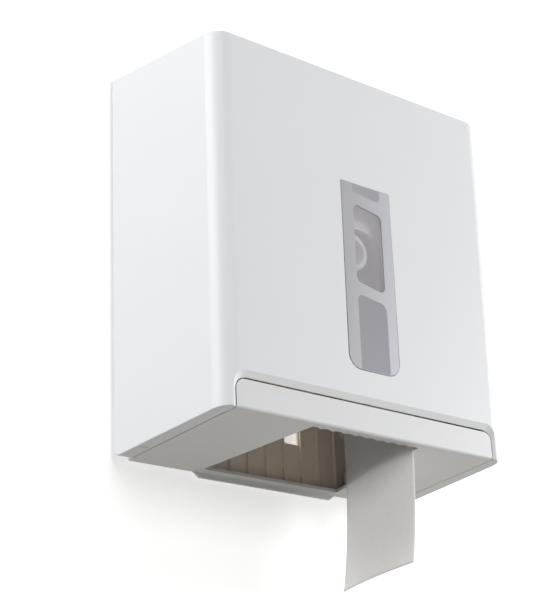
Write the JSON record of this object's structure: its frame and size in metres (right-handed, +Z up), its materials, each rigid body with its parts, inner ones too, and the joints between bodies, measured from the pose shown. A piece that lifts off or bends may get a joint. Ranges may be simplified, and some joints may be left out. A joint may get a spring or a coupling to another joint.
{
  "type": "paper roll dispenser",
  "caption": "Wall-mounted white plastic dispenser for a large paper roll, with a hinged cover, a lock, a sight window and a scalloped tear edge.",
  "frame": {"origin": "middle of the back plate's rear face, at half the height of the cover's rear edge", "axes": "+Y into the wall, +Z up, +X to the right as seen from the front"},
  "size_m": [0.2878, 0.1251, 0.3865],
  "materials": {
    "shell_white": "glossy moulded",
    "moulded_white": "satin moulded",
    "pane": "clear, slightly smoked",
    "label_film": "silver print",
    "steel": "zinc plated",
    "lock_dark": "dark satin",
    "paper": "soft",
    "core_card": "grey board"
  },
  "bodies": {
    "base": {"back_plate": "moulded_white", "bottom_tray": "moulded_white", "tray_screw_left": "steel", "tray_screw_right": "steel", "spindle": "moulded_white", "spindle_screw_1": "steel", "spindle_screw_2": "steel", "spindle_screw_3": "steel", "hinge_pin_left": "steel", "hinge_pin_right": "steel", "paper_strip": "paper"},
    "cover": {"front_cover": "shell_white", "window_pane": "pane", "window_label": "label_film", "lock_barrel": "moulded_white", "lock_nut": "moulded_white"},
    "lock": {"lock_rotor": "lock_dark", "lock_cam": "steel", "lock_cam_screw": "steel"},
    "roll": {"roll_core": "core_card", "paper_roll": "paper"}
  },
  "joints": [
    {"name": "cover_hinge", "type": "hinge", "parent": "base", "child": "cover", "pos_m": [0, -0.109, -0.1355], "axis": [1, 0, 0], "range_deg": [0, 95]},
    {"name": "lock_turn", "type": "hinge", "parent": "cover", "child": "lock", "pos_m": [0, -0.024, 0.14], "axis": [0, 0, 1], "range_deg": [0, 90]},
    {"name": "roll_spin", "type": "hinge", "parent": "base", "child": "roll", "pos_m": [0.00745, -0.068, -0.00443], "axis": [0, 1, 0], "continuous": true}
  ]
}
